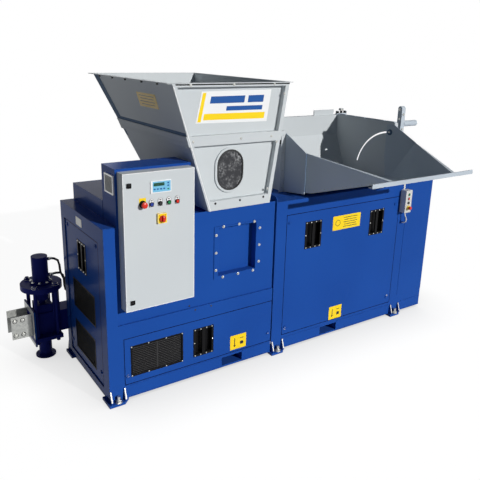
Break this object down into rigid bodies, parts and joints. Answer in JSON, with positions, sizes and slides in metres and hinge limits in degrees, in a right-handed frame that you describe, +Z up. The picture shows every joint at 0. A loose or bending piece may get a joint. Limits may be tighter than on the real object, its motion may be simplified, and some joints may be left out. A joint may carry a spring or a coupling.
{
  "type": "briquetting press",
  "caption": "Briquetting press on a low base: control cabinet, funnel hopper, twin-shaft breaker with a swing-down loading flap, side clamp outlet.",
  "frame": {"origin": "on the floor under the front left corner of the press housing, at the first foot's flat face", "axes": "+X along the front to the right, +Y to the back, +Z up"},
  "size_m": [3.51, 2, 2.103],
  "materials": {
    "blue_paint": "gloss enamel, dusty",
    "grey_paint": "semi-gloss enamel",
    "black_paint": "satin",
    "grey_plastic": "satin",
    "black_plastic": "satin",
    "yellow_plastic": "satin",
    "red_plastic": "gloss",
    "green_plastic": "gloss",
    "blue_plastic": "gloss",
    "bright_steel": "ground",
    "galvanised_steel": "galvanised",
    "zinc_steel": "zinc plated",
    "mill_steel": "worn mill finish",
    "black_rubber": "matte",
    "white_rubber": "matte"
  },
  "bodies": {
    "frame": {"press_base": "blue_paint", "breaker_base": "blue_paint", "levelling_screws": "zinc_steel", "press_frame": "blue_paint", "front_plate": "blue_paint", "access_cover": "blue_paint", "press_back": "blue_paint", "press_roof": "blue_paint", "cabinet_hood": "blue_paint", "vent_filter": "grey_plastic", "cabinet_box": "grey_paint", "hopper_front": "grey_paint", "hopper_back": "grey_paint", "hopper_left": "grey_paint", "hopper_right": "grey_paint", "hopper_window": "bright_steel", "breaker_front": "blue_paint", "breaker_shell": "blue_paint", "chute_sides": "grey_paint", "chute_back": "grey_paint", "pendant_box": "grey_plastic", "pendant_cable": "white_rubber", "clamp_cylinder": "blue_paint", "clamp_frame": "blue_paint", "guide_plates": "galvanised_steel", "clamp_hoses": "black_rubber", "press_chamber": "mill_steel", "main_cylinder": "blue_paint", "power_unit": "blue_paint", "gearmotors": "blue_paint"},
    "door": {"cabinet_door": "grey_paint", "display": "grey_plastic", "legend_plates": "yellow_plastic"},
    "estop": {"estop": "red_plastic"},
    "button_blue": {"button_blue": "blue_plastic"},
    "button_black": {"button_black": "black_plastic"},
    "button_green": {"button_green": "green_plastic"},
    "button_red": {"button_red": "red_plastic"},
    "switch": {"switch_knob": "red_plastic"},
    "flap": {"flap_trough": "grey_paint", "flap_sides": "grey_paint", "flap_knobs": "black_plastic", "flap_lever": "grey_paint"},
    "left_cover": {"left_panel": "blue_paint", "left_grille": "black_paint", "left_grip": "black_plastic"},
    "right_cover": {"right_panel": "blue_paint", "right_grips": "black_plastic"},
    "end_cover": {"end_panel": "blue_paint", "end_grilles": "black_paint", "end_grip": "black_plastic"},
    "pendant_up": {"pendant_up": "green_plastic"},
    "pendant_stop": {"pendant_stop": "red_plastic"},
    "pendant_down": {"pendant_down": "black_plastic"},
    "pendant_estop": {"pendant_estop": "red_plastic"},
    "clamp_jaw": {"clamp_jaw": "bright_steel"},
    "main_ram": {"main_ram": "bright_steel"},
    "rotor_front": {"rotor_front": "mill_steel"},
    "rotor_rear": {"rotor_rear": "mill_steel"},
    "transfer_screw": {"transfer_screw": "mill_steel"}
  },
  "joints": [
    {"name": "cabinet_door_hinge", "type": "hinge", "parent": "frame", "child": "door", "pos_m": [0.608, -0.048, 1.134], "axis": [0, 0, 1], "range_deg": [0, 110]},
    {"name": "estop_press", "type": "slide", "parent": "door", "child": "estop", "axis": [0, 1, 0], "range_m": [0, 0.006]},
    {"name": "button_blue_press", "type": "slide", "parent": "door", "child": "button_blue", "axis": [0, 1, 0], "range_m": [0, 0.004], "stiffness_N_per_m": 400},
    {"name": "button_black_press", "type": "slide", "parent": "door", "child": "button_black", "axis": [0, 1, 0], "range_m": [0, 0.004], "stiffness_N_per_m": 400},
    {"name": "button_green_press", "type": "slide", "parent": "door", "child": "button_green", "axis": [0, 1, 0], "range_m": [0, 0.004], "stiffness_N_per_m": 400},
    {"name": "button_red_press", "type": "slide", "parent": "door", "child": "button_red", "axis": [0, 1, 0], "range_m": [0, 0.004], "stiffness_N_per_m": 400},
    {"name": "main_switch_turn", "type": "hinge", "parent": "door", "child": "switch", "pos_m": [0.364, -0.085, 1.28], "axis": [0, 1, 0], "range_deg": [0, 90]},
    {"name": "flap_hinge", "type": "hinge", "parent": "frame", "child": "flap", "pos_m": [2.2, 0.273, 1.225], "axis": [-1, 0, 0], "range_deg": [0, 70]},
    {"name": "left_cover_lift_off", "type": "slide", "parent": "frame", "child": "left_cover", "axis": [0, -1, 0], "range_m": [0, 0.25]},
    {"name": "right_cover_lift_off", "type": "slide", "parent": "frame", "child": "right_cover", "axis": [0, -1, 0], "range_m": [0, 0.25]},
    {"name": "end_cover_lift_off", "type": "slide", "parent": "frame", "child": "end_cover", "axis": [-1, 0, 0], "range_m": [0, 0.25]},
    {"name": "pendant_up_press", "type": "slide", "parent": "frame", "child": "pendant_up", "axis": [0, 1, 0], "range_m": [0, 0.003], "stiffness_N_per_m": 300},
    {"name": "pendant_stop_press", "type": "slide", "parent": "frame", "child": "pendant_stop", "axis": [0, 1, 0], "range_m": [0, 0.003], "stiffness_N_per_m": 300},
    {"name": "pendant_down_press", "type": "slide", "parent": "frame", "child": "pendant_down", "axis": [0, 1, 0], "range_m": [0, 0.003], "stiffness_N_per_m": 300},
    {"name": "pendant_estop_press", "type": "slide", "parent": "frame", "child": "pendant_estop", "axis": [0, 1, 0], "range_m": [0, 0.004]},
    {"name": "clamp_jaw_slide", "type": "slide", "parent": "frame", "child": "clamp_jaw", "axis": [0, 0, -1], "range_m": [0, 0.06]},
    {"name": "main_ram_slide", "type": "slide", "parent": "frame", "child": "main_ram", "axis": [-1, 0, 0], "range_m": [0, 1.2]},
    {"name": "rotor_front_spin", "type": "hinge", "parent": "frame", "child": "rotor_front", "pos_m": [2.2, 0.425, 1.04], "axis": [1, 0, 0], "continuous": true},
    {"name": "rotor_rear_spin", "type": "hinge", "parent": "frame", "child": "rotor_rear", "pos_m": [2.2, 0.695, 1.04], "axis": [1, 0, 0], "continuous": true},
    {"name": "transfer_screw_spin", "type": "hinge", "parent": "frame", "child": "transfer_screw", "pos_m": [2.2, 0.6, 0.8], "axis": [1, 0, 0], "continuous": true}
  ],
  "couplings": [
    {"joint": "rotor_rear_spin", "follows": "rotor_front_spin", "ratio": -1}
  ]
}
